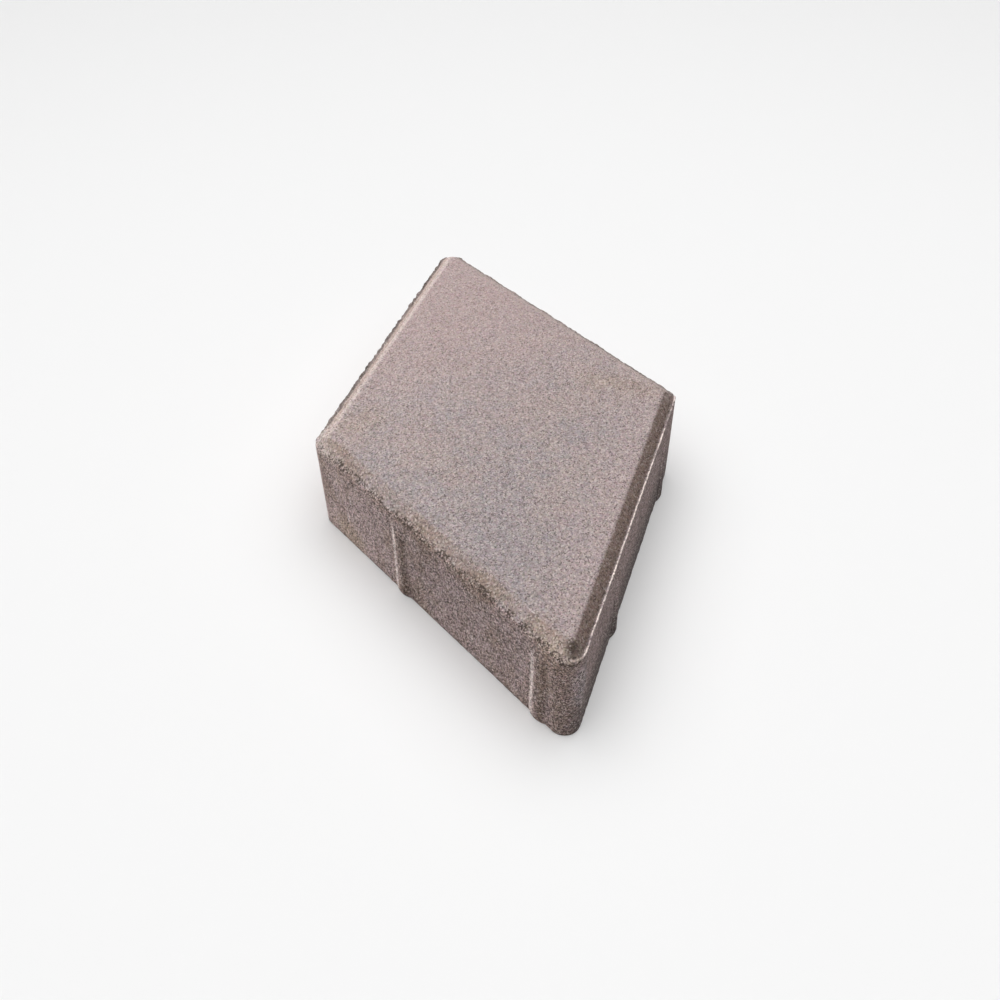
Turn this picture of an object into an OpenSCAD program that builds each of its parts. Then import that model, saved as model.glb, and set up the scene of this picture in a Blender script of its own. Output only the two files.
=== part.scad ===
// Rhombus paving stone, pressed in one piece from concrete.
// The stone lies on its bed face, centred on the origin, with +Z up.
// Its sharp corners point along -Y and +Y, and its blunt corners along -X and +X.

/* [Stone] */
// Length of each side, from sharp corner to blunt corner before they are rounded
side = 196; // [140:1:300]
// Angle of the sharp corners, in degrees
sharp_angle = 60; // [50:1:90]
// Height from the bed face to the wearing face
thickness = 60; // [40:1:120]
// Radius of the four upright corners
corner_radius = 8; // [2:0.5:20]

/* [Chamfer] */
// Width of the flat ledge that the press head leaves outside the chamfer
ledge_width = 1.5; // [0.5:0.1:4]
// Width of the chamfer, seen from above
chamfer_width = 5.5; // [2:0.5:12]
// Height of the chamfer
chamfer_height = 3.5; // [1:0.5:10]

/* [Spacer nibs] */
// Width of a nib where it meets the side, at the bed face
nib_width = 11; // [6:0.5:16]
// How far a nib stands out of the side, at the bed face
nib_reach = 2; // [1:0.1:4]
// How far a nib stands out of the side, at its top
nib_top_reach = 0.7; // [0.2:0.1:0.9]
// Distance from the top of a nib up to the ledge
nib_top_gap = 9; // [2:0.5:20]
// Distance from where a sharp corner stops turning to the nearest nib place on its side
nib_end_gap = 3.6; // [0:0.1:20]

/* [Hidden] */
$fn = 96;

sides = 4;
corner_lap = 0.001;         // how far the round corners stand proud of the sides that run into them
min_head_radius = 0.5;      // tightest corner on the wearing face
nib_places = 4;             // places on one side, shared out between two neighbouring stones
own_nib_places = [1, 3];    // the neighbour's nibs fill the others
nib_root = 1;               // how far a nib reaches into the side that it stands on

half_short = side * sin(sharp_angle / 2);
half_long = side * cos(sharp_angle / 2);
ledge_z = thickness - chamfer_height;

// The chamfer turns each corner together with the upright corner outside it,
// as long as that leaves a small radius on the wearing face.
foot_radius = max(corner_radius - ledge_width, chamfer_width + min_head_radius);
head_radius = foot_radius - chamfer_width;

// A nib is the part of a leaning-in cone that shows outside the side.
nib_radius = (pow(nib_width / 2, 2) + pow(nib_reach, 2)) / (2 * nib_reach);
nib_depth = nib_radius - nib_reach;
nib_top_radius = nib_depth + nib_top_reach;
nib_height = ledge_z - nib_top_gap;
nib_end = corner_radius / tan(sharp_angle / 2) + nib_end_gap + nib_width / 2;
nib_step = (side - 2 * nib_end) / (nib_places - 1);

// Corners in order round the stone, sharp ones first and third.
corners = [[0, -half_long], [half_short, 0], [0, half_long], [-half_short, 0]];

function half_angle(i) = i % 2 == 0 ? sharp_angle / 2 : 90 - sharp_angle / 2;
function bearing(from, to) = atan2(to.y - from.y, to.x - from.x);
// Direction straight out of side i
function outward(i) =
    let (a = bearing(corners[i], corners[(i + 1) % sides])) [sin(a), -cos(a)];
// Centre of the arc that rounds corner i, in an outline that lies this far inside the sides
function arc_centre(i, radius, inset) =
    corners[i] * (1 - (radius + inset) / (sin(half_angle(i)) * norm(corners[i])));
// Sides at distance r out from those centres, with each corner cut straight across
function outline(r, radius, inset) = [
    for (i = [0 : sides - 1])
        for (side_at_corner = [(i + sides - 1) % sides, i])
            arc_centre(i, radius, inset) + r * outward(side_at_corner)
];
function at_height(points, z) = [for (p = points) [p.x, p.y, z]];

// Moves its children so that X runs along side i from its first corner, and Y points out of the stone.
module on_side(i) {
    first = corners[i];
    last = corners[(i + 1) % sides];
    translate(first) rotate(bearing(first, last)) mirror([0, 1, 0]) children();
}

// The stone up to the ledge
module lower_body() {
    linear_extrude(height = ledge_z) polygon(outline(corner_radius, corner_radius, 0));
    for (i = [0 : sides - 1])
        translate(arc_centre(i, corner_radius, 0))
            cylinder(h = ledge_z, r = corner_radius + corner_lap);
}

// The stone above the ledge, with the chamfer on its sides
module upper_body() {
    foot = outline(foot_radius, foot_radius, ledge_width);
    head = outline(head_radius, foot_radius, ledge_width);
    n = len(foot);
    polyhedron(
        points = concat(at_height(foot, ledge_z), at_height(head, thickness)),
        faces = concat(
            [[for (k = [0 : n - 1]) k]],
            [[for (k = [n - 1 : -1 : 0]) n + k]],
            [for (k = [0 : n - 1]) [k, n + k, n + (k + 1) % n, (k + 1) % n]]
        )
    );
    for (i = [0 : sides - 1])
        translate(concat(arc_centre(i, foot_radius, ledge_width), [ledge_z]))
            cylinder(h = chamfer_height, r1 = foot_radius + corner_lap, r2 = head_radius + corner_lap);
}

// The cone is cut off just inside the side, so a broad nib near a sharp corner stays on its own side.
module nib(i, place) {
    on_side(i)
        translate([nib_end + place * nib_step, 0, 0])
            intersection() {
                translate([0, -nib_depth, 0])
                    cylinder(h = nib_height, r1 = nib_radius, r2 = nib_top_radius);
                translate([-nib_width, -nib_root, 0])
                    cube([2 * nib_width, nib_root + 2 * nib_reach, nib_height]);
            }
}

module paving_stone() {
    color([0.62, 0.55, 0.54])
        union() {
            lower_body();
            upper_body();
            for (i = [0 : sides - 1])
                for (place = own_nib_places) nib(i, place);
        }
}

paving_stone();
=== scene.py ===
# Rhombus paving stone of pressed concrete, lying on a pale studio floor.
import math
import bpy
import numpy as np
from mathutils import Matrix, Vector, geometry, noise


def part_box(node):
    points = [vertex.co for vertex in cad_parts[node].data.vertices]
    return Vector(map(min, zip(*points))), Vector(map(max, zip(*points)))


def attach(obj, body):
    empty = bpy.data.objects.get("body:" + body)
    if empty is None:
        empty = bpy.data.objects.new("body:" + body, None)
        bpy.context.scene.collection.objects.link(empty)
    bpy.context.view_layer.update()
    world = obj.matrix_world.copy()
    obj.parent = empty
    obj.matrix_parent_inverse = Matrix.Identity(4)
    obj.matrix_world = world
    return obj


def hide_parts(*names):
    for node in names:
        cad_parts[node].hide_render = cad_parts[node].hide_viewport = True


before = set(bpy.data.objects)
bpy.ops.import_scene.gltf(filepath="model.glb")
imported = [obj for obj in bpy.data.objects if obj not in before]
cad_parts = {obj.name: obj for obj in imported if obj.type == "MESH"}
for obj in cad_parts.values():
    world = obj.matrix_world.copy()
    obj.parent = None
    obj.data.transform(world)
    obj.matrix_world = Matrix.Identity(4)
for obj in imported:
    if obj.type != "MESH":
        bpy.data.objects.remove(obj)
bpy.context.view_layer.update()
scene = bpy.context.scene
mm = 0.001


# camera

camera = {
    "place": (-0.07831, -0.41882, 0.41966),
    "turn": (45.081, 0.504, -11.114),  # degrees about x, y and z
    "lens": 38.01,
    "clip": (0.01, 20),
}


def placeCamera(c):
    data = bpy.data.cameras.new("camera")
    data.lens = c["lens"]
    data.clip_start, data.clip_end = c["clip"]
    thing = bpy.data.objects.new("camera", data)
    thing.location = c["place"]
    thing.rotation_euler = [math.radians(a) for a in c["turn"]]
    scene.collection.objects.link(thing)
    scene.camera = thing


placeCamera(camera)
print("camera placed")


# shader tools

class Value:
    # a socket that can be used in a sum
    def __init__(self, sheet, socket):
        self.sheet, self.socket = sheet, socket

    def math(self, operation, *terms):
        return self.sheet.node("ShaderNodeMath", {"operation": operation}, dict(enumerate(terms)))

    def __add__(self, other):
        return self.math("ADD", self, other)

    def __radd__(self, other):
        return self.math("ADD", other, self)

    def __sub__(self, other):
        return self.math("SUBTRACT", self, other)

    def __rsub__(self, other):
        return self.math("SUBTRACT", other, self)

    def __mul__(self, other):
        return self.math("MULTIPLY", self, other)

    def __rmul__(self, other):
        return self.math("MULTIPLY", other, self)


class Material:
    def __init__(self, name):
        self.data = bpy.data.materials.new(name)
        self.data.use_nodes = True
        self.tree = self.data.node_tree
        self.tree.nodes.clear()

    def node(self, kind, settings=None, sockets=None, out=0):
        made = self.tree.nodes.new(kind)
        for key, setting in (settings or {}).items():
            setattr(made, key, setting)
        for key, given in (sockets or {}).items():
            if isinstance(key, int):
                socket = made.inputs[key]
            else:
                socket = next(s for s in made.inputs if key in (s.identifier, s.name))
            if isinstance(given, Value):
                self.tree.links.new(given.socket, socket)
            elif isinstance(given, tuple) and len(given) == 3 and socket.type == "RGBA":
                socket.default_value = (*given, 1)
            else:
                socket.default_value = given
        if isinstance(out, str):
            return Value(self, next(s for s in made.outputs if out in (s.identifier, s.name)))
        return Value(self, made.outputs[out]) if made.outputs else None

    def vector(self, operation, sockets, out=0):
        return self.node("ShaderNodeVectorMath", {"operation": operation}, sockets, out)

    def axis(self, place, name):
        return self.node("ShaderNodeSeparateXYZ", {}, {"Vector": place}, name)

    def mask(self, name):
        return self.node("ShaderNodeAttribute", {"attribute_name": name}, out="Fac")

    def noise(self, place, size, detail=2.0, rough=0.5, out="Fac"):
        return self.node("ShaderNodeTexNoise", {}, {
            "Vector": place, "Scale": 1 / size, "Detail": detail, "Roughness": rough}, out)

    def grains(self, place, size):
        # every grain of this size has its own number
        return self.node("ShaderNodeTexVoronoi", {"feature": "F1"}, {
            "Vector": place, "Scale": 1 / size, "Randomness": 1.0}, "Color")

    def between(self, value, low, high, toLow=0.0, toHigh=1.0):
        return self.node("ShaderNodeMapRange", {"interpolation_type": "SMOOTHSTEP"}, {
            "Value": value, "From Min": low, "From Max": high,
            "To Min": toLow, "To Max": toHigh})

    def band(self, value, edges):
        # rises over the first two edges and falls over the last two
        start, full, still, end = edges
        return self.between(value, start, full) * self.between(value, end, still)

    def mix(self, factor, a, b, how="MIX"):
        return self.node("ShaderNodeMix", {"data_type": "RGBA", "blend_type": how}, {
            "Factor_Float": factor, "A_Color": a, "B_Color": b}, "Result_Color")

    def painted(self, colour, coats):
        # coats laid one over another, each with how much of it there is and its colour
        for amount, coat in coats:
            colour = self.mix(amount, colour, coat)
        return colour

    def scaled(self, colour, amount):
        return self.vector("SCALE", {"Vector": colour, "Scale": amount})

    def stretched(self, place, scale):
        return self.vector("MULTIPLY", {0: place, 1: scale})

    def shaken(self, place, size, amount):
        # the place moved about, for ragged outlines
        swirl = self.noise(place, size, 3.0, 0.6, "Color")
        off = self.vector("SUBTRACT", {0: swirl, 1: (0.5, 0.5, 0.5)})
        return self.vector("MULTIPLY_ADD", {0: off, 1: (amount,) * 3, 2: place})

    def patch(self, place, centre, size, turn):
        # 1 in the middle of an oval, 0 outside it; centre and size in mm, turn in degrees
        inside = self.node("ShaderNodeMapping", {"vector_type": "TEXTURE"}, {
            "Vector": place, "Location": [v * mm for v in centre],
            "Scale": [v * mm for v in size], "Rotation": [math.radians(v) for v in turn]})
        far = self.vector("LENGTH", {"Vector": inside}, "Value")
        return self.between(far, 1.0, 0.25)


# the stone's mesh; lists of four go by side: front right, back right, back left, front left

stone = {
    "side": 196 * mm,
    "sharpAngle": 60,
    "cornerRadius": 8 * mm,
    "headRadius": 1.0 * mm,   # least radius that a ring of the mesh has
    "roundAgain": 5.5 * mm,   # on the face the rings grow rounder by how far in they are past this
    "ledgeWidth": 1.5 * mm,
    "chamferWidth": 5.5 * mm,
    "chamferHeight": 3.5 * mm,
    "sideShift": (-0.45, 0.45, 0.15, 0.0),     # mm each side stands further in than it should
    "chamferShift": (-0.65, 0.15, 0.45, 0.3),  # mm more at the chamfer's head
    "nibWidth": 11 * mm,
    "nibReach": 2 * mm,
    "nibTopReach": 0.7 * mm,
    "nibTopGap": 9 * mm,
    "nibTaper": 0.1,
    "nibFade": (0.8 * mm, 2.6 * mm),  # a worn nib ends this far past its top, over this height
    # mm from the corner where a side starts, going anticlockwise
    "nibPlaces": ((73.0, 174.4), (73.0, 173.0), (73.4, 172.6), (70.7, 172.0)),
    "nibLeft": (0.85, 0.95, 0.9, 0.74),  # how much of a nib's reach wear has left
    "wear": (0.0, 0.85, 0.6, 1.0),       # how far the rim is rounded over
    "cornerWear": (0.0, 0.5, 0.4, 0.3),  # more of it at the corner where each side starts
    "wearNoise": (0.7, 9),               # how uneven, and mm along the rim
    "lip": (1.0, 0.2, 0.05, 0.0),        # burr on the ledge
    "lipHeight": 0.75,
    # start, then how much noise is added and its size in mm
    "lipBroken": (0.85, (1.1, 2.2), (0.9, 9)),
    "lipWander": (0.12, (0.30, 2.6), (0.30, 13)),
    "rub": (0.35, 0.3, 0.5, 1.0),        # pale line down the nibs, partly rubbed wear, partly a painted highlight on the lit flank
    "rubHighlightLine": (-3.8, 1.7),              # mm from a nib's middle, and mm wide
    "lee": (0.2, 0.3, 0.3, 1.0),         # painted shade on the nibs' flank turned from the light
    "leeShadeBand": (2.6, 3.4),
    "stripeEnd": (1.5 * mm, 4 * mm),     # both end this far past a nib's top, over this height
    "step": 0.62 * mm,                   # mesh spacing along the sides
    "cornerSteps": (24, 14),             # mesh columns round a sharp and a blunt corner
    "faceStep": 2.0 * mm,
    "faceMargin": 1.3 * mm,
    "bedStep": 3.0 * mm,
    "bedMargin": 1.6 * mm,
    "shake": 0.22,                       # how uneven the points on the face and the bed are
    "seed": 7,
}

low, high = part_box("paving_stone")
thickness = high.z - low.z
ledgeHeight = thickness - stone["chamferHeight"]
halfAngle = [math.radians(a / 2) for a in (stone["sharpAngle"], 180 - stone["sharpAngle"]) * 2]
halfShort = stone["side"] * math.sin(halfAngle[0])
halfLong = stone["side"] * math.cos(halfAngle[0])
corners = np.array([(0, -halfLong), (halfShort, 0), (0, halfLong), (-halfShort, 0)])
bearings = [math.atan2(*(corners[(i + 1) % 4] - corners[i])[::-1]) for i in range(4)]
outward = np.array([(math.sin(a), -math.cos(a)) for a in bearings])
middleToSide = halfLong * math.sin(halfAngle[0])
bedDepth = -ledgeHeight / mm - 5  # the bed's own place on the scale that runs in from the rim
sideNames = ("frontRight", "backRight", "backLeft", "frontLeft")


def arcCentre(i, radius, insets):
    # where the two sides at a corner cross, moved in by the radius and by each side's inset
    reaches = [middleToSide - radius - insets[side] for side in (i - 1, i)]
    return np.linalg.solve(outward[[i - 1, i]], reaches)


def radiusAt(inset):
    return max(stone["cornerRadius"] - inset, stone["headRadius"], inset - stone["roundAgain"])


def straightPart(i):
    # where the straight part of a side starts, and its length
    start = stone["cornerRadius"] / math.tan(halfAngle[i])
    end = stone["cornerRadius"] / math.tan(halfAngle[(i + 1) % 4])
    return start, stone["side"] - start - end


def cornerWay(i, t):
    # which way a corner faces at this share of its turn, and the whole turn
    before = math.atan2(*outward[i - 1][::-1])
    turn = (math.atan2(*outward[i][::-1]) - before) % (2 * math.pi)
    a = before + t * turn
    return np.array((math.cos(a), math.sin(a))), turn


def stations():
    # columns of the mesh round the stone: (corner or side, index, share of the way along it)
    found = []
    for i in range(4):
        turns = stone["cornerSteps"][i % 2]
        found += [("corner", i, k / turns) for k in range(turns)]
        count = round(straightPart(i)[1] / stone["step"])
        found += [("side", i, k / count) for k in range(count)]
    return found


columns = stations()


def ring(inset):
    # points of the outline that lies this far inside the sides
    r = radiusAt(inset)
    foot, head = stone["ledgeWidth"], stone["ledgeWidth"] + stone["chamferWidth"]
    onChamfer = min(max((inset - foot) / (head - foot), 0), 1)
    shifts = np.array(stone["sideShift"]) + onChamfer * np.array(stone["chamferShift"])
    insets = inset + shifts * mm
    points = np.empty((len(columns), 2))
    for k, (kind, i, t) in enumerate(columns):
        if kind == "corner":
            points[k] = arcCentre(i, r, insets) + r * cornerWay(i, t)[0]
        else:
            first = arcCentre(i, r, insets) + r * outward[i]
            last = arcCentre((i + 1) % 4, r, insets) + r * outward[i]
            points[k] = first + t * (last - first)
    return points


def columnFacts():
    # how far along its side each column stands, how much it belongs to each side, and its way out
    along = np.empty(len(columns))
    share = np.zeros((len(columns), 4))
    way = np.empty((len(columns), 2))
    for k, (kind, i, t) in enumerate(columns):
        if kind == "corner":
            way[k], turn = cornerWay(i, t)
            smooth = t * t * (3 - 2 * t)
            share[k, i - 1], share[k, i] = 1 - smooth, smooth
            along[k] = (t - 0.5) * stone["cornerRadius"] * turn
        else:
            start, run = straightPart(i)
            way[k] = outward[i]
            share[k, i] = 1
            along[k] = start + t * run
    return along, share, way


def nibOut(along, isSide, z):
    # how far a nib stands out of the side
    s = stone
    top = ledgeHeight - s["nibTopGap"]
    up = min(z / top, 1)
    reach = s["nibReach"] + (s["nibTopReach"] - s["nibReach"]) * up
    halfWidth = s["nibWidth"] / 2 * (1 - s["nibTaper"] * up)
    out = np.zeros_like(along)
    for i, places in enumerate(s["nibPlaces"]):
        for place in places:
            hump = np.maximum(1 - ((along - place * mm) / halfWidth) ** 2, 0)
            out = np.maximum(out, reach * hump * s["nibLeft"][i] * isSide[:, i])
    past, over = s["nibFade"]
    fade = min(max((top + past - z) / over, 0), 1)
    return out * fade * fade * (3 - 2 * fade)


def nibStripe(along, isSide, z, line, amounts):
    # a soft stripe up the side, a little way from the middle of each nib
    offset, width = line
    stripe = np.zeros_like(along)
    for i, places in enumerate(stone["nibPlaces"]):
        for place in places:
            off = (along / mm - place - offset) / width
            stripe = np.maximum(stripe, np.exp(-off * off) * isSide[:, i] * amounts[i])
    past, over = stone["stripeEnd"]
    top = ledgeHeight - stone["nibTopGap"] + past
    return stripe * min(max((top - z) / over, 0), 1)


def softMax(a, b, k):
    h = np.maximum(k - np.abs(a - b), 0) / k
    return np.maximum(a, b) + h * h * k / 4


# rows of the mesh up the section, in mm
section = {
    "bedEdge": ((0.9, 0), (0.35, 0.12), (0.08, 0.45)),  # inset and height
    "sideRows": (1.1, 49.8, 20),                        # first and last height, and how many
    "highRows": (50.9, 51.9, 52.8, 53.6),
    "rimInsets": (0, 0, 0, -0.06, -0.18, -0.14, 0.14, 0.46, 0.8, 1.2),
    "rimHeights": (-2.1, -1.4, -0.8, -0.35, -0.1, 0, 0, 0, 0, 0),  # over the ledge
    "rimLifts": (0, 0, 0, 0.15, 0.6, 1, 1, 0.7, 0.15, 0),          # share of the lip
    "wornRadius": 1.7,
    "wornTurns": (0, 9, 18, 27, 36, 46, 57.5),  # degrees round the worn rim
    "wornDrop": 1.75,
    "wornLedge": (1.1, 1.5, 1.9),  # insets
    "chamferStarts": (1.75, 2.4),  # as moulded and worn
    "chamferRows": 9,
    "faceInsets": (7.4, 8.1, 9.3, 10.6),
    "footBlend": 0.4,              # how softly the chamfer meets the ledge
    "headBlend": 0.8,              # and the face
    "wornBulge": 0.12,             # how far the worn chamfer stands out in its middle
}


def sectionRows(s):
    # from the bed up the side, over the rim and the chamfer to the face: (inset, height) as it
    # came from the mould, the same worn, and how much of the lip's lift each row has
    ledge = ledgeHeight / mm
    foot, width = stone["ledgeWidth"] / mm, stone["chamferWidth"] / mm
    top = stone["chamferHeight"] / mm
    slope = top / width
    sharp = list(s["bedEdge"])
    sharp += [(0, z) for z in np.linspace(*s["sideRows"])]
    sharp += [(0, z) for z in s["highRows"]]
    worn = list(sharp)
    lift = [0.0] * len(sharp) + list(s["rimLifts"])
    sharp += list(zip(s["rimInsets"], ledge + np.array(s["rimHeights"])))
    arc = np.radians(s["wornTurns"])
    radius = s["wornRadius"]
    worn += list(zip(radius * (1 - np.cos(arc)), ledge - s["wornDrop"] + radius * np.sin(arc)))
    worn += [(inset, ledge + slope * (inset - foot)) for inset in s["wornLedge"]]
    for start, rows in zip(s["chamferStarts"], (sharp, worn)):
        chamfer = list(np.linspace(start, foot + width - 0.2, s["chamferRows"]))
        for inset in chamfer + list(s["faceInsets"]):
            z = ledge + slope * (inset - foot)
            if rows is sharp:
                z = softMax(z, ledge, s["footBlend"])
            else:
                z += s["wornBulge"] * math.sin(math.pi * min((inset - foot) / width, 1))
            rows.append((inset, -softMax(-z, -(ledge + top), s["headBlend"])))
    lift += [0.0] * (len(sharp) - len(lift))
    return np.array(sharp, float), np.array(worn, float), np.array(lift)


def hexPoints(inset, step, seed):
    # an even, slightly shaken spread of points inside the outline
    rng = np.random.default_rng(seed)
    a, b = halfShort, halfLong
    keep = 1 - inset / middleToSide
    points = []
    for n, y in enumerate(np.arange(-b, b, step * math.sqrt(3) / 2)):
        xs = np.arange(-a, a, step) + (step / 2 if n % 2 else 0)
        points += [(x, y) for x in xs if abs(x) / a + abs(y) / b < keep]
    points = np.array(points)
    return points + rng.uniform(-stone["shake"], stone["shake"], points.shape) * step


def fill(rim, inset, step, seed):
    # triangles between a rim of points and an even spread inside it
    points = [Vector(p) for p in np.vstack([rim, hexPoints(inset, step, seed)])]
    n = len(rim)
    edges = [(k, (k + 1) % n) for k in range(n)]
    made = geometry.delaunay_2d_cdt(points, edges, [], 1, 1e-9)
    return np.array([tuple(p) for p in made[0]]), made[2], made[3]


def sampleNoise(points, size, seed, stretch=(1, 1, 1)):
    shift = Vector((seed * 17.3, seed * 5.9, seed * 31.7))
    placed = points * (np.array(stretch) / size)
    return np.array([noise.noise(Vector(p) + shift) for p in placed])


def layeredNoise(points, seed, start, *layers):
    # each layer adds this much noise of this size in mm
    total = start
    for k, (amount, size) in enumerate(layers):
        total = total + amount * sampleNoise(points, size * mm, seed + k)
    return total


def rimWear(share, rimLine):
    # how far each column's rim is worn, from 0 as moulded to 1
    isWorn = share @ np.array(stone["wear"])
    for i, extra in enumerate(stone["cornerWear"]):
        isWorn = isWorn + extra * 4 * share[:, i - 1] * share[:, i]
    uneven, size = stone["wearNoise"]
    shaken = sampleNoise(rimLine, size * mm, 11)
    return np.clip(isWorn + uneven * shaken * np.minimum(isWorn * 3, 1), 0, 1)


def rimLip(share, rimLine):
    # how much lip each column has, and how far it wanders out of line
    lip = (share ** 3) @ np.array(stone["lip"])
    broken = layeredNoise(rimLine, 12, *stone["lipBroken"])
    wander = layeredNoise(rimLine, 14, *stone["lipWander"])
    return lip * np.clip(broken, 0.05, 1.5), wander * mm


def buildStone(s):
    along, share, way = columnFacts()
    isSide = share > 0.99
    sharp, worn, lift = sectionRows(section)
    n, rowCount = len(columns), len(sharp)
    rimLine = np.column_stack([ring(0), np.full(n, ledgeHeight)])
    isWorn = rimWear(share, rimLine)
    lip, wobble = rimLip(share, rimLine)
    points, fromRim, lips, rubAndHighlights, leeShades = [], [], [], [], []
    for (inset, z), (wornInset, wornZ), rise in zip(sharp, worn, lift):
        flat = ring(inset * mm) * (1 - isWorn[:, None]) + ring(wornInset * mm) * isWorn[:, None]
        flat = flat + way * (rise * lip * wobble)[:, None]
        height = (z * (1 - isWorn) + wornZ * isWorn + rise * lip * s["lipHeight"]) * mm
        flat = flat + way * nibOut(along, isSide, z * mm)[:, None]
        points.append(np.column_stack([flat, height]))
        fromRim.append(np.full(n, inset - max(ledgeHeight / mm - z, 0)))
        lips.append(rise * lip)
        rubAndHighlights.append(nibStripe(along, isSide, z * mm, s["rubHighlightLine"], s["rub"]))
        leeShades.append(nibStripe(along, isSide, z * mm, s["leeShadeBand"], s["lee"]))
    points = np.vstack(points)
    fromRim, lips, rubAndHighlights, leeShades = (np.concatenate(a) for a in (fromRim, lips, rubAndHighlights, leeShades))
    faces = [(r * n + k, r * n + (k + 1) % n, (r + 1) * n + (k + 1) % n, (r + 1) * n + k)
             for r in range(rowCount - 1) for k in range(n)]

    # close the top and the bed
    top = fill(points[-n:, :2], sharp[-1][0] * mm + s["faceMargin"], s["faceStep"], s["seed"])
    bed = fill(points[:n, :2], sharp[0][0] * mm + s["bedMargin"], s["bedStep"], s["seed"] + 1)
    for (flat, tris, origin), z, offset in ((top, thickness, (rowCount - 1) * n), (bed, 0.0, 0)):
        isBed = offset == 0
        index = np.empty(len(flat), int)
        extra = []
        used = {v for t in tris for v in t}
        for k, source in enumerate(origin):
            if source and source[0] < n:
                index[k] = offset + source[0]
            elif k in used:  # points past a rounded corner are left out
                index[k] = len(points) + len(extra)
                extra.append((*flat[k], z))
        extra = np.array(extra)
        points = np.vstack([points, extra])
        inward = middleToSide - np.abs(extra[:, :2] @ outward.T).max(1)
        fromRim = np.append(fromRim, np.full(len(extra), bedDepth) if isBed else inward / mm)
        for t in tris:
            around = index[list(t)[::-1]] if isBed else index[list(t)]
            faces.append(tuple(int(v) for v in around))
    made = bpy.data.meshes.new("pavingStone")
    made.from_pydata(points.tolist(), [], faces)
    made.update()
    bare = np.zeros(len(points) - len(lips))
    marks = {name: np.append(values, bare)
             for name, values in (("lip", lips), ("rub", rubAndHighlights), ("lee", leeShades))}
    return made, fromRim, marks


mesh, fromRim, masks = buildStone(stone)
triangles = sum(len(p.vertices) - 2 for p in mesh.polygons)
print("stone mesh:", len(mesh.vertices), "points,", triangles, "triangles")


# relief in the mesh, in mm: how deep, and how large along the surface

relief = {
    "face": (0.05, 4.5),
    "side": (0.07, 3.0),
    "streak": (0.06, 2.6),
    "wave": (0.14, 26),
    "foot": (0.75, 4.0),  # crumbled away along the bed's edge
    "footHeight": 1.8,
    "bed": (0.30, 5.0),
    "bedLine": -56,       # points below this, on the scale in from the rim, are the bed's
    "aboveBed": 0.05,     # and the sides start this high
    "crumble": (0.05, 0.36, 0.62, 0.15),  # on each side's rim
    "crumbleLayers": ((1, 2.3), (0.5, 1.38)),  # how strong, and size in mm
    "crumbleLoss": 0.35,                  # how much more is lost than heaped
    "crumbleWidth": 1.9,
    "chamferRough": (0.04, 0.22),         # everywhere, and with the rim's crumble
    "pits": (0.0, 0.6, 0.8, 0.45),        # on each side's rim
    "pitDepth": 0.35,
    "pitWidth": 1.5,
    # size in mm, how sharp their edges are, and how much they cover, where 0 is half
    "pitSpots": (1.7, 3.5, -0.08),
    "pitClusters": (9, 2.2, 0.3),
    "cornerBlend": 4,                     # how gradually one side gives way to the next
}


def ramp(values, start, full):
    # rises from 0 to 1 between these two
    return np.clip((values - start) / (full - start), 0, 1)


def reliefStone(r, mesh, fromRim, masks):
    count = len(mesh.vertices)
    co, normals = np.empty(count * 3), np.empty(count * 3)
    mesh.vertices.foreach_get("co", co)
    mesh.vertices.foreach_get("normal", normals)
    co, normals = co.reshape(-1, 3), normals.reshape(-1, 3)
    gaps = middleToSide - co[:, :2] @ outward.T
    share = np.exp(-gaps / (r["cornerBlend"] * mm))
    share /= share.sum(1)[:, None]
    crumble = share @ np.array(r["crumble"])

    def rough(name, seed, stretch=(1, 1, 1)):
        deep, size = r[name]
        return deep * sampleNoise(co, size * mm, seed, stretch)

    def spots(name, seed):
        size, sharpness, more = r[name]
        return np.clip(sharpness * (sampleNoise(co, size * mm, seed) + more), 0, 1)

    # what each point belongs to, by how many mm in from the rim it is
    isFace = ramp(fromRim, 6, 8)
    isSide = ramp(fromRim, -1.5, -3.5) * (co[:, 2] > r["aboveBed"] * mm)
    isBed = fromRim < r["bedLine"]
    atRim = np.exp(-((fromRim - 0.4) / r["crumbleWidth"]) ** 2)
    onChamfer = ramp(fromRim, 1, 2) * ramp(fromRim, 8, 7)

    move = isFace * rough("face", 1)
    move += isSide * (rough("side", 2) + rough("streak", 3, (1, 1, 0.08)) + rough("wave", 4))
    footHeight = r["footHeight"] * mm
    foot = np.exp(-co[:, 2] / footHeight) * np.abs(rough("foot", 5)) * ~isBed
    crumbs = layeredNoise(co, 6, 0, *r["crumbleLayers"])
    move += atRim * crumble * (crumbs - r["crumbleLoss"])
    even, withCrumble = r["chamferRough"]
    move += onChamfer * (even + withCrumble * crumble) * crumbs

    # pits come in clusters and keep off the corners
    pit = spots("pitClusters", 8) * spots("pitSpots", 9)
    pit *= np.exp(-((fromRim - 0.2) / r["pitWidth"]) ** 2) * (share @ np.array(r["pits"]))
    pit *= ramp(share.max(1), 0.6, 0.9)
    move -= r["pitDepth"] * pit

    bedRough = np.abs(rough("bed", 10))
    co = co + normals * move[:, None] * mm
    co[:, :2] -= (share @ outward) * foot[:, None] * mm
    co[:, 2] = np.where(isBed, bedRough * mm, np.maximum(co[:, 2], 0))
    mesh.vertices.foreach_set("co", co.ravel())
    sides = {name: share[:, i] for i, name in enumerate(sideNames)}
    for name, values in {**masks, "fromRim": fromRim, "pit": pit, **sides}.items():
        layer = mesh.attributes.new(name, "FLOAT", "POINT")
        layer.data.foreach_set("value", np.ascontiguousarray(values, dtype=np.float32))
    mesh.polygons.foreach_set("use_smooth", [True] * len(mesh.polygons))
    mesh.update()


reliefStone(relief, mesh, fromRim, masks)
pavingStone = bpy.data.objects.new("pavingStone", mesh)
scene.collection.objects.link(pavingStone)
print("relief done")


# concrete

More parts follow.
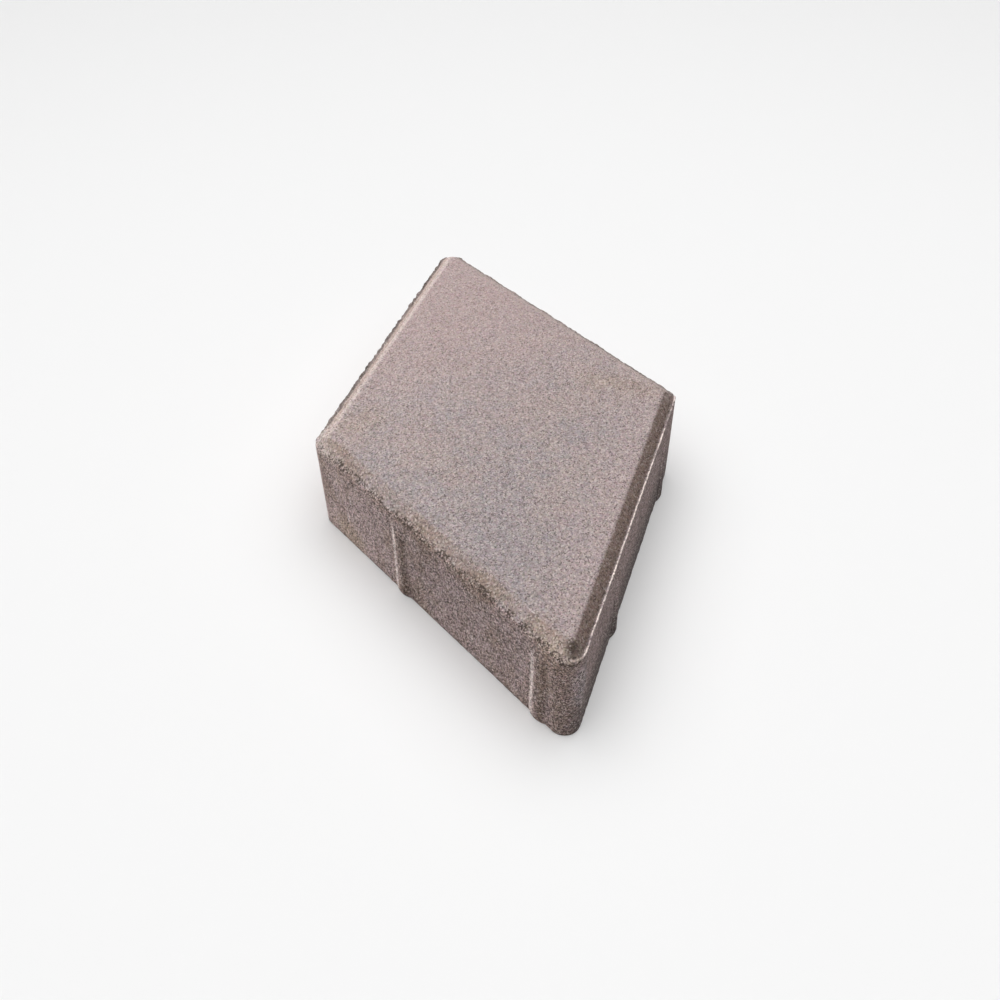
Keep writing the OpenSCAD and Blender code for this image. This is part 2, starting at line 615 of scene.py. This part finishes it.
concrete = {
    "face": (0.413, 0.342, 0.332),
    "faceWarm": (0.442, 0.355, 0.334),
    "faceCool": (0.377, 0.326, 0.331),
    # painted light: the face's far end lighter and warmer
    "faceFarLit": (0.461, 0.355, 0.344),
    "faceRight": (0.461, 0.367, 0.359),
    "side": (0.329, 0.250, 0.242),
    "sideBrown": (0.267, 0.194, 0.167),
    "rightTop": (0.262, 0.190, 0.182),
    # painted shade: the front right side darkens to this at the bed
    "rightFootShade": (0.093, 0.073, 0.069),
    "rightChamfer": (0.348, 0.253, 0.217),
    "leftChamfer": (0.319, 0.242, 0.204),
    "backChamfer": (0.338, 0.258, 0.225),
    # painted light on the back right chamfer
    "litFarChamfer": (0.594, 0.480, 0.450),
    "dark": (0.075, 0.056, 0.045),
    "pale": (0.68, 0.60, 0.57),
    "tan": (0.405, 0.308, 0.250),
    "cream": (0.50, 0.398, 0.352),
    "brown": (0.235, 0.165, 0.130),
    # painted shade behind the nibs
    "leeShadeBrown": (0.188, 0.132, 0.104),
    # painted shade: at the foot, in the chamfer's crease and among backlit crumbs on the back rims
    "shadeColour": (0.130, 0.105, 0.095),
    # painted shade at the near tip
    "tipShade": (0.105, 0.074, 0.056),
    "grey": (0.300, 0.262, 0.268),
    # pale cement burr, partly its own colour, partly a painted highlight
    "lip": (0.80, 0.69, 0.64),
    "roughness": 0.92,
    "specular": 0.3,
    "bumpStrength": 0.9,
    "bumpDepth": 0.32 * mm,
    # sizes of what shows on the surface
    "sandSize": 0.82 * mm,
    "fineSize": 0.6 * mm,
    "grainSize": 0.66 * mm,
    "tintSize": 1.1 * mm,
    "pitSize": 0.7 * mm,
    "streakSize": 3.0 * mm,
    "cloudSize": 6 * mm,
    "dripSize": 7 * mm,
    "patchSize": 24 * mm,
    # how strongly the grains show
    "grainContrast": 0.64,
    "sandContrast": 0.50,
    "darkGrains": 0.40,
    "paleGrains": 0.45,
    # bands across the section, in mm in from the rim: start, full, still full, end
    "bands": {
        "underRim": (-11.0, -0.5, 0.2, 1.8),    # brown, front left
        "nearLeft": (-9.0, -1.0, 2.0, 6.0),     # pale, at the left corner
        "rim": (-3.0, -0.5, 0.6, 3.4),          # stronger grains, front left
        "crumbShade": (-2.4, -0.6, 1.6, 3.4),        # painted shade of backlit crumbs, at the back
        "pits": (-2.0, -0.6, 1.3, 2.6),
        "raggedChamfer": (0.0, 1.8, 6.0, 9.2),  # front left
        "litFarChamfer": (0.2, 1.6, 5.5, 8.6),     # painted light, back right
        "grooveShade": (0.7, 1.3, 1.8, 4.2),         # painted shade in the crease at the chamfer's foot, front right
        "chamfer": (0.9, 1.8, 6.2, 7.6),        # front right and back left
        "headHighlight": (4.4, 5.8, 7.2, 8.2),       # painted highlight along the chamfer's head, back left
    },
    # colour, amount, centre, size and turn
    "stains": (
        ("tan", 0.45, (68, 9, 60), (34, 12, 6), (0, 0, -30)),
        ("tan", 0.35, (-72, 8, 60), (22, 14, 6), (0, 0, 30)),
        ("tan", 0.50, (-8, -150, 58), (12, 18, 8), (0, 0, 30)),
        ("faceCool", 0.60, (-17, -85, 60), (34, 45, 6), (0, 0, 20)),
        ("brown", 0.55, (-95, -5, 30), (7, 7, 22), (0, 0, 0)),
        ("brown", 0.35, (-87, -20, 14), (8, 8, 12), (0, 0, 0)),
        ("tan", 0.90, (-86, -20, 4), (20, 20, 20), (0, 0, 0)),
        ("tan", 0.45, (-52, -79, 0), (10, 10, 9), (0, 0, 0)),
        ("brown", 0.50, (-7, -157, 50), (12, 14, 7), (0, 0, 0)),
        ("brown", 0.30, (-30, -110, 58), (14, 7, 6), (0, 0, -60)),
        ("grey", 0.60, (5.5, -160, 34), (8, 8, 22), (0, 0, 0)),
        ("brown", 0.50, (-10.5, -152.5, 33), (6, 6, 19), (0, 0, 0)),
        ("brown", 0.55, (-84, -24, 40), (5, 5, 14), (0, 0, 0)),
    ),
    "stainSwirl": (9 * mm, 12 * mm),  # size and reach of the swirls in the outlines
    "spots": (
        ("cream", 0.95, (-0.8, -159.6, 57.2), (12, 9, 3.6), (0, 0, 0)),
        ("cream", 0.60, (-7.0, -152.5, 58.8), (6.5, 8, 4), (0, 0, 20)),
        # the next two: painted shade on the near tip's chamfer and ledge
        ("tipShade", 0.82, (1.1, -156.0, 58.4), (5.2, 5.6, 5), (0, 0, 0)),
        ("tipShade", 0.80, (0.3, -163.0, 54.2), (9, 4, 2.0), (0, 0, 0)),
    ),
    "spotSwirl": (2.5 * mm, 2.5 * mm),
    "scratches": (
        ("pale", 0.7, (-83.2, -25.6, 36), (1.2, 0.5, 5.5), (0, 0, -60)),
        ("pale", 0.7, (-85.4, -21.8, 19.5), (1.2, 0.5, 4.5), (0, 0, -60)),
        ("pale", 0.7, (-34.8, -109.4, 15), (1.2, 0.5, 4), (0, 0, -60)),
        ("pale", 0.7, (-11.4, -134.6, 60), (5.2, 0.5, 1), (0, 0, -60)),
        ("pale", 0.7, (16.2, -139.3, 55.6), (1.5, 0.45, 1.5), (0, 0, 25)),
    ),
}


def concreteMaterial(c):
    m = Material("concrete")
    place = m.node("ShaderNodeTexCoord", out="Object")
    sideways, across, height = (m.axis(place, name) for name in "XYZ")
    fromRim, lip, pit = (m.mask(name) for name in ("fromRim", "lip", "pit"))
    rub, lee = (m.mask(name) for name in ("rub", "lee"))
    frontRight, backRight, backLeft, frontLeft = (m.mask(name) for name in sideNames)

    # noises, from fine to broad
    fine = m.noise(place, c["fineSize"], 1.0, 0.5)
    grain = m.grains(place, c["grainSize"])
    sand = m.noise(place, c["sandSize"], 1.5, 0.6)
    streak = m.noise(m.stretched(place, (1, 1, 0.1)), c["streakSize"], 3.0, 0.6)
    cloud = m.noise(place, c["cloudSize"], 3.0, 0.6)
    drips = m.noise(m.stretched(place, (1, 1, 0.16)), c["dripSize"], 3.0, 0.65)
    patches = m.noise(place, c["patchSize"], 3.0, 0.6)

    # bands along the rim, three of them ragged
    ragged = fromRim + 2.6 * (cloud - 0.5) + 1.4 * (sand - 0.5)
    raggedBands = ("raggedChamfer", "crumbShade", "underRim")
    bands = {name: m.band(ragged if name in raggedBands else fromRim, edges)
             for name, edges in c["bands"].items()}
    isSide = m.between(fromRim - frontLeft, -0.2, -1.4)
    nearLeft = m.between(sideways + 4 * mm * (patches - 0.5), -84 * mm, -93 * mm)
    broken = frontLeft + 0.9 * backLeft + 0.7 * backRight  # sides with a crumbled rim

    # the face
    # painted light towards the far end of the face
    farLitShare = m.between(across + 0.05 * (patches - 0.5), -0.04, 0.11) * 0.9
    rightX, rightY = (float(v) for v in outward[0])
    towardRight = rightX * sideways + rightY * across + 0.02 * (patches - 0.5)
    colour = m.painted(c["faceCool"], (
        (m.between(patches, 0.38, 0.62), c["faceWarm"]),
        (m.between(cloud, 0.35, 0.65), c["face"]),
        (farLitShare, c["faceFarLit"]),
        (m.between(towardRight, 40 * mm, 80 * mm) * 0.85, c["faceRight"]),
    ))

    # the sides
    dripShare = m.between(across, -90 * mm, -10 * mm, 0.35, 0.8)
    sideColour = m.painted(c["side"], (
        (m.between(patches, 0.46, 0.66) * 0.8, c["sideBrown"]),
        (m.between(drips, 0.50, 0.66) * dripShare, c["sideBrown"]),
    ))
    # painted light: the sides lighter towards the left corner and the back, darker towards the
    # near tip; the last term lifts them a little at the tip
    paintedFalloff = m.between(across, -20 * mm, -75 * mm, 1.20, 0.92)
    sideColour = m.scaled(sideColour, paintedFalloff + m.between(across, -130 * mm, -150 * mm) * 0.08)
    # painted shade: the front right side darker towards the bed
    rightColour = m.mix(m.between(height, 2 * mm, 40 * mm), c["rightFootShade"], c["rightTop"])
    sideColour = m.mix(frontRight * 0.95, sideColour, rightColour)
    farRight = m.between(across, -80 * mm, -10 * mm) * frontRight
    # painted light near the bed on the front left side; shade also darkens the back left side and
    # the far end of the front right
    litNearBed = m.between(height, 26 * mm, 6 * mm) * frontLeft
    shade = 1 - 0.30 * backLeft - 0.08 * farRight + 0.16 * litNearBed
    sideColour = m.scaled(sideColour, (0.70 + 0.58 * streak) * shade)

    # the rim and the chamfer, over both
    patchy = m.between(patches, 0.30, 0.62, 0.35, 1.0)
    patchyBrown = m.between(patches, 0.32, 0.58, 0.3, 1.0)
    cloudyLeeShade = m.between(cloud, 0.25, 0.55, 0.5, 1.0)
    colour = m.painted(colour, (
        (isSide, sideColour),
        (bands["chamfer"] * frontRight * 0.95, c["rightChamfer"]),
        (bands["raggedChamfer"] * frontLeft * patchy, c["leftChamfer"]),
        (bands["chamfer"] * backLeft * 0.8, c["backChamfer"]),
        # painted highlight along the back left chamfer's head
        (bands["headHighlight"] * backLeft * 0.36, c["pale"]),
        # painted light on the back right chamfer
        (bands["litFarChamfer"] * backRight * 0.75, c["litFarChamfer"]),
        # painted shade of backlit crumbs along the back rims
        (bands["crumbShade"] * (backLeft + 0.35 * backRight) * 0.75, c["shadeColour"]),
        (bands["underRim"] * frontLeft * patchyBrown * 0.62, c["brown"]),
        # painted shade on the nibs' flanks turned from the light
        (lee * cloudyLeeShade * 0.75, c["leeShadeBrown"]),
        (bands["nearLeft"] * nearLeft * 0.30, c["pale"]),
    ))

    # stains, painted shade at the foot and in the chamfer's crease, the pale lip, partly a painted
    # highlight, and rubbed lines down the nibs, partly a painted highlight
    for swirl, marks in ((c["stainSwirl"], c["stains"]), (c["spotSwirl"], c["spots"])):
        swirled = m.shaken(place, *swirl)
        for name, amount, centre, size, turn in marks:
            colour = m.mix(m.patch(swirled, centre, size, turn) * amount, colour, c[name])
    rubbedAndHighlit = m.between(rub + 0.4 * (sand - 0.5) + 0.6 * (cloud - 0.5), 0.2, 1.0)
    colour = m.painted(colour, (
        # painted shade along the foot of the sides
        (m.between(height, 1.8 * mm, 0.3 * mm) * 0.4, c["shadeColour"]),
        # the pale burr on the lip, partly its own colour, partly a painted highlight
        (m.between(lip + 0.7 * (sand - 0.5), 0.25, 0.8) * 0.95, c["lip"]),
        # painted shade in the crease at the chamfer's foot
        (bands["grooveShade"] * frontRight * 0.22, c["shadeColour"]),
        # pale line down the nibs, partly rubbed wear, partly a painted highlight
        (rubbedAndHighlit * 0.50, c["pale"]),
    ))
    for name, amount, centre, size, turn in c["scratches"]:
        colour = m.mix(m.patch(place, centre, size, turn) * amount, colour, c[name])

    # grains of sand, strongest near the front
    front = frontLeft + 0.65 * frontRight
    behind = isSide * (backLeft + backRight)
    strong = m.between(across, 10 * mm, 115 * mm, 1.38, 0.72)
    strong = strong + isSide * (0.1 + 2.3 * front) + 0.6 * bands["rim"] * frontLeft
    for speckle, contrast in ((grain, c["grainContrast"]), (sand, c["sandContrast"])):
        colour = m.scaled(colour, 1 + (contrast * speckle - contrast / 2) * strong)
    colour = m.mix(0.05, colour, m.grains(place, c["tintSize"]), "OVERLAY")
    dark = m.between(grain, 0.28, 0.14) + m.between(sand, 0.40, 0.28) * 0.6
    colour = m.painted(colour, (
        (dark * (c["darkGrains"] + 0.30 * isSide - 0.38 * behind), c["dark"]),
        (m.between(grain, 0.72, 0.88) * (c["paleGrains"] - 0.22 * behind), c["pale"]),
    ))

    # painted shade in the pits and among the crumbs along the crumbled rims
    pitBand = bands["pits"] * (1 - 0.8 * nearLeft)
    crumbs = pitBand * broken * m.between(cloud, 0.42, 0.58) * 0.41
    pitGrain = m.grains(place, c["pitSize"]) + 0.5 * (fine - 0.5) - crumbs
    pitShade = m.between(pitGrain, 0.18, 0.06) * m.between(pitBand, 0.1, 0.5) * broken
    pitShade = pitShade + m.between(pit + 0.8 * (fine - 0.5), 0.3, 0.8) * 0.4
    pitShade = m.node("ShaderNodeClamp", {}, {"Value": pitShade})
    colour = m.mix(pitShade * 0.9, colour, c["dark"])

    bumps = sand * 0.5 + fine * 0.4 + grain * 0.4 - pitShade * 0.8
    bump = m.node("ShaderNodeBump", {}, {
        "Strength": c["bumpStrength"], "Distance": c["bumpDepth"], "Height": bumps})
    shader = m.node("ShaderNodeBsdfPrincipled", {}, {
        "Base Color": colour, "Roughness": c["roughness"], "Normal": bump,
        "Specular IOR Level": c["specular"]})
    m.node("ShaderNodeOutputMaterial", {}, {"Surface": shader})
    return m.data


mesh.materials.append(concreteMaterial(concrete))
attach(pavingStone, "root")
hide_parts("paving_stone")
print("concrete finished")


# floor and lights

studio = {
    "floor": (0.88, 0.88, 0.88),
    "floorRoughness": 0.9,
    "floorSpecular": 0.2,
    "floorSize": 13.0,      # radius where it starts to rise
    "flatRing": 0.5,        # keeps the shading flat up to there
    "sweep": 2.0,
    "wallTop": 4.5,
    "turns": 96,
    "world": 0.06,
    "overhead": 12.0,       # watts
    "overheadHeight": 1.6,
    "overheadSize": 1.6,
    "key": 60.0,
    "keyWay": (-0.574, 0.660, 0.485),
    "keySize": 0.30,
    "keyDistance": 2.3,
    "wash": 2.0,            # lights the floor alone
    "washAngle": 100,
}


def lightOnly(light, thing):
    group = bpy.data.collections.new(light.name + "Only")
    group.objects.link(thing)
    light.light_linking.receiver_collection = group


def makeLight(name, kind, energy, way, distance, **settings):
    data = bpy.data.lights.new(name, kind)
    data.energy = energy
    for key, value in settings.items():
        setattr(data, key, value)
    light = bpy.data.objects.new(name, data)
    toward = Vector(way).normalized()
    light.location = toward * distance
    light.rotation_mode = "QUATERNION"
    light.rotation_quaternion = toward.to_track_quat("Z", "Y")
    scene.collection.objects.link(light)
    return light


def buildFloor(s):
    # a round floor that sweeps up into a wall
    size, sweep, turns = s["floorSize"], s["sweep"], s["turns"]
    rings = [(size - s["flatRing"], 0)]
    for degrees in range(0, 91, 6):
        a = math.radians(degrees)
        rings.append((size + sweep * math.sin(a), sweep * (1 - math.cos(a))))
    rings.append((size + sweep, s["wallTop"]))
    steps = [k * math.tau / turns for k in range(turns)]
    points = [(r * math.cos(a), r * math.sin(a), z) for r, z in rings for a in steps]
    faces = [tuple(range(turns))]
    for j in range(len(rings) - 1):
        for k in range(turns):
            here, there = j * turns + k, j * turns + (k + 1) % turns
            faces.append((here + turns, there + turns, there, here))
    floorMesh = bpy.data.meshes.new("floor")
    floorMesh.from_pydata(points, [], faces)
    floorMesh.polygons.foreach_set("use_smooth", [True] * len(faces))
    floor = bpy.data.objects.new("floor", floorMesh)
    scene.collection.objects.link(floor)
    m = Material("paleFloor")
    shader = m.node("ShaderNodeBsdfPrincipled", {}, {
        "Base Color": s["floor"], "Roughness": s["floorRoughness"],
        "Specular IOR Level": s["floorSpecular"]})
    m.node("ShaderNodeOutputMaterial", {}, {"Surface": shader})
    floorMesh.materials.append(m.data)
    return floor


def lightStudio(s, floor):
    world = bpy.data.worlds.new("studio")
    scene.world = world
    world.use_nodes = True
    background = world.node_tree.nodes["Background"]
    background.inputs["Color"].default_value = (1, 1, 1, 1)
    background.inputs["Strength"].default_value = s["world"]
    up = (0, 0, 1)
    makeLight("overhead", "AREA", s["overhead"], up, s["overheadHeight"], size=s["overheadSize"])
    key = makeLight("key", "AREA", s["key"], s["keyWay"], s["keyDistance"], size=s["keySize"])
    wash = makeLight("wash", "SUN", s["wash"], up, 2.0, angle=math.radians(s["washAngle"]))
    lightOnly(key, pavingStone)
    lightOnly(wash, floor)


lightStudio(studio, buildFloor(studio))
scene.view_settings.view_transform = "Standard"
print("studio built")
